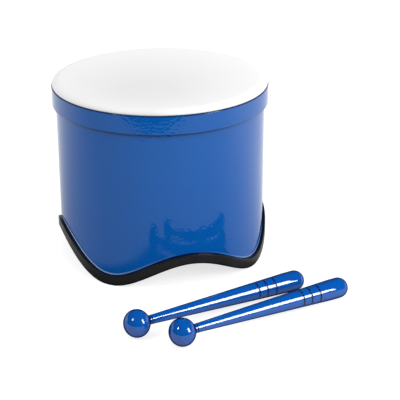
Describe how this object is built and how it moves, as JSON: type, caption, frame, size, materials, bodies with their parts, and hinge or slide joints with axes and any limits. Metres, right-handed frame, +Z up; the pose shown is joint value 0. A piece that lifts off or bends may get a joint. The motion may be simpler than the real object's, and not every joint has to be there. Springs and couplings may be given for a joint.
{
  "type": "floor tom-tom with mallets",
  "caption": "Children's floor tom-tom: tube shell on a wave-cut, rubber-edged foot, with a pre-tuned film head, a collar and loose ball mallets.",
  "frame": {"origin": "middle of the set's footprint, drum and both mallets, on the surface that they stand on", "axes": "+Z up out of the playing head; -Y the side where the mallets lie and one arch of the wave faces; +X towards the handles' butts"},
  "size_m": [0.2994, 0.4022, 0.2242],
  "materials": {
    "gloss_blue": "gloss",
    "film_white": "satin",
    "rubber_black": "matte",
    "ring_black": "matte",
    "lacquer_blue": "gloss lacquer"
  },
  "bodies": {
    "drum": {"drum_shell": "gloss_blue", "bottom_edging": "rubber_black", "bearing_ring": "ring_black", "drum_head": "film_white", "collar_band": "gloss_blue"},
    "mallet_rear": {"mallet_rear_ball": "lacquer_blue", "mallet_rear_handle": "lacquer_blue"},
    "mallet_front": {"mallet_front_ball": "lacquer_blue", "mallet_front_handle": "lacquer_blue"}
  },
  "joints": [
    {"name": "mallet_rear_lift", "type": "slide", "parent": "drum", "child": "mallet_rear", "axis": [0, 0, 1], "range_m": [0, 0.25]},
    {"name": "mallet_front_lift", "type": "slide", "parent": "drum", "child": "mallet_front", "axis": [0, 0, 1], "range_m": [0, 0.25]}
  ]
}
